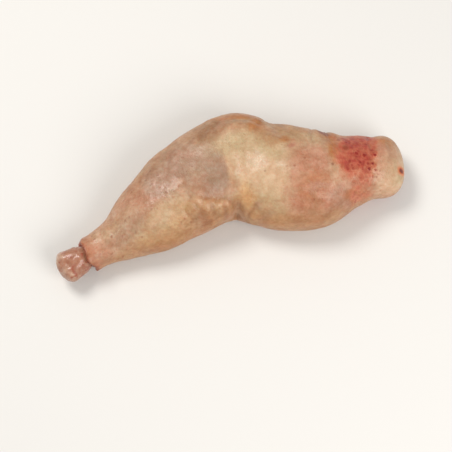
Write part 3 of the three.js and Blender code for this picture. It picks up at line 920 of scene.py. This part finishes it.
# Zones in the order in which they are laid over the pale skin. The bruise comes after them, and grows redder
# in steps: colour, and the strengths at which it begins and is full.
SKIN_LAYERS = [zone for zone in (*ZONES, "rim", "hock_edge") if zone != "bruise"]
BRUISE_STEPS = (("bruise_edge", 0.0, 0.5), ("bruise", 0.3, 0.85), ("bruise_core", 0.7, 1.15))
BRUISE_PATCHY = {"size": 3.4, "low": 0.62, "high": 1.18, "pores": 0.3}
SKIN_MOTTLE = ((11, 0.75, "rosy"), (4.2, 0.95, "dull"), (1.8, 0.85, "rosy"))  # size, amount, shade
CALM_FAT = 0.7  # share of the mottling that is left on fat

# Distances from a pore's middle at which each of its effects begins and is full, and how ragged they are.
PORE_LOOK = {"mark": (0.95, 0.35), "dot": (1.3, 0.55), "pit": (0.55, 0.0), "pit_depth": -0.3}
PORE_RAGGED = {"size": 1.3, "by": 0.3}

# Fine creases in the skin, which run more round the leg than along it.
CREASES = {"size": 1.25, "round": 0.55, "width": 0.22, "depth": 0.075}
GRAIN = (0.14, 1.0, 1.0)  # the fibres of the meat run along the leg


def skin_colour(nodes, here, pore, dot):
    """Pale skin with the zones laid over it in turn, painted shade and light among them, then the bruise,
    pores and the painted shade of folds. It is mottled in three sizes, least on the fat, and blood with its
    halo comes last."""
    colour = SKIN["pale"]
    for zone in SKIN_LAYERS:
        colour = nodes.mix(nodes.field(zone), colour, SKIN[zone])
    patchy = nodes.noise(here, BRUISE_PATCHY["size"], 4.0)
    patchy = nodes.span(patchy, 0.3, 0.7, BRUISE_PATCHY["low"], BRUISE_PATCHY["high"])
    round_pores = nodes.math("ADD", patchy, nodes.times(dot, BRUISE_PATCHY["pores"]))
    bruise = nodes.times(nodes.field("bruise"), round_pores)
    for name, low, high in BRUISE_STEPS:
        colour = nodes.mix(nodes.span(bruise, low, high), colour, SKIN[name])
    colour = nodes.mix(pore, colour, SKIN["pore"], "MULTIPLY")
    dark_pore = nodes.times(dot, nodes.span(bruise, 0.25, 0.85))
    colour = nodes.mix(dark_pore, colour, SKIN["pore_in_bruise"])
    # Painted shade in the folds, wrinkles and creases between lobes.
    colour = nodes.mix(nodes.field("hollow"), colour, SKIN["hollow"], "MULTIPLY")
    lively = nodes.span(nodes.field("fat"), 0.0, 1.0, 1.0, CALM_FAT)
    for size, amount, shade in SKIN_MOTTLE:
        amount = nodes.times(lively, amount)
        colour = nodes.group("uneven_colour", here, size, Colour=colour, Shade=SKIN[shade], Amount=amount)
    colour = nodes.mix(nodes.field("halo"), colour, SKIN["halo"])
    return nodes.mix(nodes.field("blood"), colour, SKIN["blood"])


def meat_colour(nodes, grain, here):
    """Red and pink fibres, silvery membrane in patches and streaks of fat."""
    fibres = nodes.noise(grain, 1.1, 3.0)
    colour = nodes.mix(nodes.span(fibres, 0.35, 0.65), MEAT["deep"], MEAT["pink"])
    membrane = nodes.times(nodes.span(nodes.noise(here, 13, 4.0), 0.5, 0.66), 0.6)
    colour = nodes.mix(membrane, colour, MEAT["silver"])
    streaks = nodes.times(nodes.span(nodes.noise(grain, 3.4, 4.0), 0.6, 0.72), 0.8)
    colour = nodes.mix(streaks, colour, MEAT["fat"])
    return nodes.group("uneven_colour", here, 9, Colour=colour, Shade=SKIN["rosy"], Amount=0.9)


def skin_and_meat_material():
    """Skin and meat by their share. Fine creases and pitted pores raise the skin, and fibres the meat."""
    material, nodes, shader = new_material(
        "moist_skin_and_meat", IOR=1.4, Subsurface_Weight=0.25, Subsurface_Radius=(1.0, 0.45, 0.3),
        Subsurface_Scale=0.0014, Coat_Weight=0.18, Coat_Roughness=0.16)
    here = nodes.add("TexCoord").outputs["Object"]
    place = nodes.add("UVMap", uv_map="skin_place").outputs["UV"]
    meat = nodes.field("meat")
    strength = nodes.field("pores")
    offset = nodes.add("Attribute", attribute_name="pore_place").outputs["Vector"]
    gap = nodes.add("VectorMath", {0: offset}, operation="LENGTH").outputs["Value"]
    ragged = nodes.noise(here, PORE_RAGGED["size"])
    gap = nodes.math("ADD", gap, nodes.span(ragged, 0.3, 0.7, -PORE_RAGGED["by"], PORE_RAGGED["by"]))
    pore = nodes.times(nodes.span(gap, *PORE_LOOK["mark"]), strength)
    dot = nodes.times(nodes.span(gap, *PORE_LOOK["dot"]), nodes.span(strength, 0.0, 0.7))
    grain = nodes.stretched(here, GRAIN)
    colour = nodes.mix(meat, skin_colour(nodes, here, pore, dot), meat_colour(nodes, grain, here))
    roughness = nodes.group("moist_sheen", here, 8, Wet=0.34, Dry=0.52)

    creased = nodes.stretched(place, (1.0, CREASES["round"], 1.0))
    net = {"Vector": creased, "Scale": 1 / (CREASES["size"] * MM)}
    from_crease = nodes.add("TexVoronoi", net, feature="DISTANCE_TO_EDGE").outputs["Distance"]
    creases = nodes.span(from_crease, 0.0, CREASES["width"], -CREASES["depth"], 0.0)
    pits = nodes.times(nodes.span(gap, *PORE_LOOK["pit"]), nodes.times(strength, PORE_LOOK["pit_depth"]))
    tiny = nodes.group("fine_relief", here, 0.7, Height=0.08)
    skin_height = nodes.math("ADD", nodes.math("ADD", creases, pits), tiny)
    fibre_height = nodes.times(nodes.noise(grain, 0.9, 3.0), 0.5)
    height = nodes.add("Mix", {0: meat, 2: skin_height, 3: fibre_height}, data_type="FLOAT").outputs[0]
    finish_shader(nodes, shader, colour, roughness, height)
    return material


def gristle_material():
    """Wet gristle: pale with pink patches, brown where it is torn and in the groove, and stained by blood."""
    material, nodes, shader = new_material(
        "wet_gristle", IOR=1.42, Subsurface_Weight=0.3, Subsurface_Radius=(1.0, 0.6, 0.4),
        Subsurface_Scale=0.002, Coat_Weight=0.35, Coat_Roughness=0.12)
    here = nodes.add("TexCoord").outputs["Object"]
    colour = nodes.mix(nodes.span(nodes.noise(here, 6), 0.4, 0.62), GRISTLE["pale"], GRISTLE["pink"])
    colour = nodes.mix(nodes.times(nodes.field("torn"), 0.75), colour, GRISTLE["torn"])
    stains = nodes.times(nodes.span(nodes.noise(here, 3.2, 4.0), 0.54, 0.66), 0.7)
    colour = nodes.mix(stains, colour, GRISTLE["blood"])
    colour = nodes.mix(nodes.times(nodes.field("groove"), 0.5), colour, GRISTLE["torn"])
    colour = nodes.group("uneven_colour", here, 2, Colour=colour, Shade=GRISTLE["dull"], Amount=0.9)
    roughness = nodes.group("moist_sheen", here, 4, Wet=0.18, Dry=0.36)
    height = nodes.group("fine_relief", here, 0.8, Height=0.16)
    finish_shader(nodes, shader, colour, roughness, height)
    return material


# ---- Setting ----

# Where the camera looks, in metres, how far off it stands, and its elevation and width of view in degrees.
CAMERA = {"target": (-0.0033, -0.0200, 0.020), "distance": 0.8, "elevation": 72, "view": 18.8}
SENSOR = 36

# Soft lights: name, place, size, power and warmth. Each one faces the leg.
LIGHTS = [
    ("key", (-0.4, 0.3, 0.85), 0.4, 5.2, (1.0, 0.985, 0.96)),
    ("fill", (0.5, -0.5, 0.6), 0.6, 4.6, (1.0, 0.99, 0.98)),
]
WORLD_STRENGTH = 0.5
FLOOR = {"half": 3, "roughness": 0.9, "specular": 0.2, "colour": paint(226, 223, 218)}


def make_camera():
    lean = math.radians(CAMERA["elevation"])
    back = Vector((0, -math.cos(lean), math.sin(lean)))
    data = bpy.data.cameras.new("camera")
    data.sensor_width = SENSOR
    data.lens = SENSOR / 2 / math.tan(math.radians(CAMERA["view"]) / 2)
    data.clip_start = 0.01
    camera = new_object("camera", data)
    camera.location = Vector(CAMERA["target"]) + back * CAMERA["distance"]
    camera.rotation_euler = (-back).to_track_quat("-Z", "Y").to_euler()
    bpy.context.scene.camera = camera


def make_lights():
    for name, spot, size, power, colour in LIGHTS:
        data = bpy.data.lights.new(name, "AREA")
        data.shape = "DISK"
        data.size = size
        data.energy = power
        data.color = colour
        light = new_object(name, data)
        light.location = spot
        light.rotation_euler = (-Vector(spot)).to_track_quat("-Z", "Y").to_euler()
    world = bpy.data.worlds.new("studio")
    world.use_nodes = True
    background = world.node_tree.nodes["Background"]
    background.inputs["Color"].default_value = (1, 1, 1, 1)
    background.inputs["Strength"].default_value = WORLD_STRENGTH
    bpy.context.scene.world = world
    bpy.context.scene.view_settings.view_transform = "Standard"


def make_floor():
    half = FLOOR["half"]
    mesh = bpy.data.meshes.new("floor")
    corners = [(-half, -half, 0), (half, -half, 0), (half, half, 0), (-half, half, 0)]
    mesh.from_pydata(corners, [], [(0, 1, 2, 3)])
    material, _, _ = new_material(
        "pale_floor", Roughness=FLOOR["roughness"], Specular_IOR_Level=FLOOR["specular"],
        Base_Color=FLOOR["colour"])
    mesh.materials.append(material)
    new_object("floor", mesh)


# ---- The leg ----

build_groups()
flesh = make_flesh()
flesh.data.materials.append(skin_and_meat_material())
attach(flesh, "root")
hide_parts("leg_flesh")

knuckle = make_knuckle()
knuckle.data.materials.append(gristle_material())
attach(knuckle, "root")
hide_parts("drumstick_bone")

make_floor()
make_lights()
make_camera()
